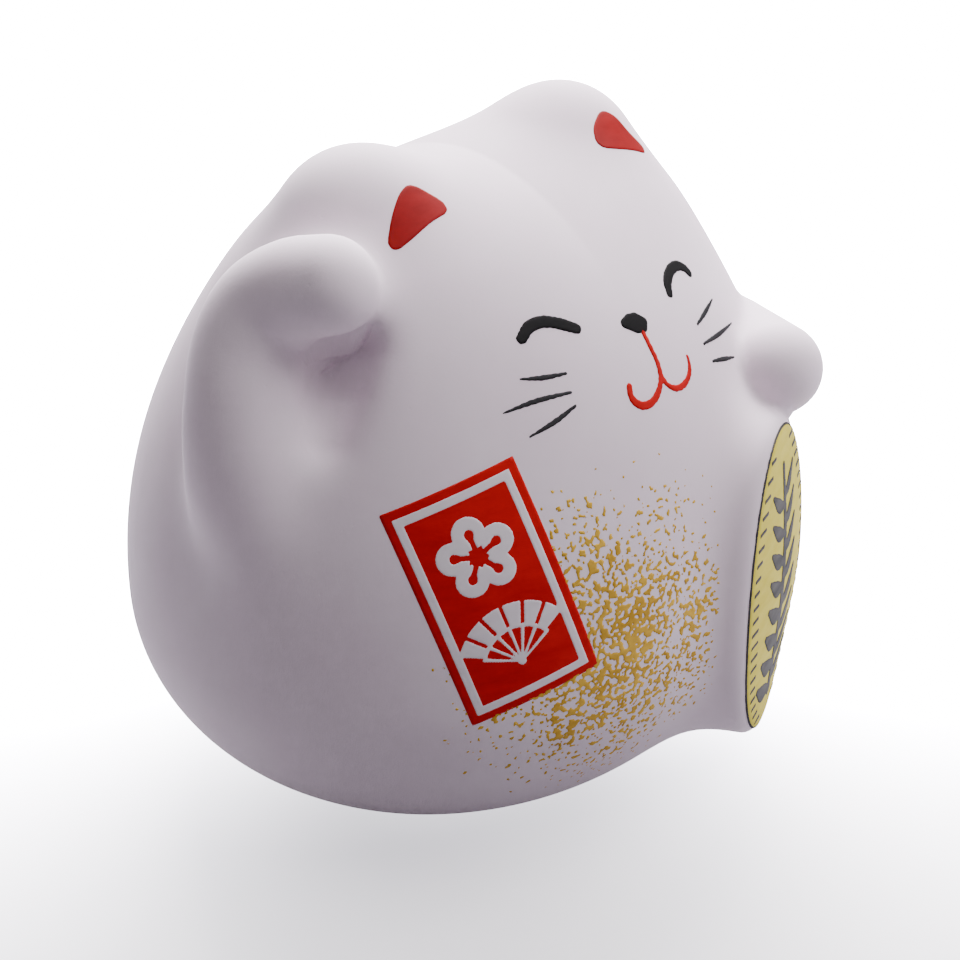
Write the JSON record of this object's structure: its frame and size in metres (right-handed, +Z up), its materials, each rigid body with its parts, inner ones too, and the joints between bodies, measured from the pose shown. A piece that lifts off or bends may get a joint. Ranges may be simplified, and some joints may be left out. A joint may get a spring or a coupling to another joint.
{
  "type": "beckoning cat figurine",
  "caption": "Round sitting cat figurine in matte bisque with a raised paw, an oval coin, painted face, red label and gold dabbing, modelled as a hollow coin bank.",
  "frame": {"origin": "on the surface the cat stands on, under the middle of its bounding box", "axes": "+Z up, -Y towards the viewer the cat looks at, +X to the cat's left"},
  "size_m": [0.094, 0.0884, 0.0824],
  "materials": {
    "bisque": "matte bisque-fired white clay, faintly pink-lavender",
    "koban_yellow": "satin pale yellow transfer print with a thin dark outline",
    "print_grey": "matte grey transfer print",
    "label_red": "satin red transfer with white line work",
    "gold_paint": "dull gold paint dabbed on with a sponge",
    "ear_red": "brushed matte red enamel",
    "black_enamel": "brushed satin black enamel",
    "mouth_red": "brushed red enamel line",
    "whisker_grey": "thin brushed dark grey enamel lines",
    "rubber": "soft milky white rubber"
  },
  "bodies": {
    "figure": {"body_shell": "bisque", "beckoning_arm": "bisque", "koban_arm": "bisque", "koban_plinth": "bisque", "koban_transfer": "koban_yellow", "koban_print": "print_grey", "luck_label": "label_red", "gold_dabbing": "gold_paint", "ear_lining_right": "ear_red", "ear_lining_left": "ear_red", "eye_right": "black_enamel", "eye_left": "black_enamel", "nose": "black_enamel", "mouth": "mouth_red", "whiskers_right": "whisker_grey", "whiskers_left": "whisker_grey"},
    "stopper": {"stopper": "rubber"}
  },
  "joints": [
    {"name": "stopper_pull", "type": "slide", "parent": "figure", "child": "stopper", "axis": [0, 0, -1], "range_m": [0, 0.012]}
  ]
}
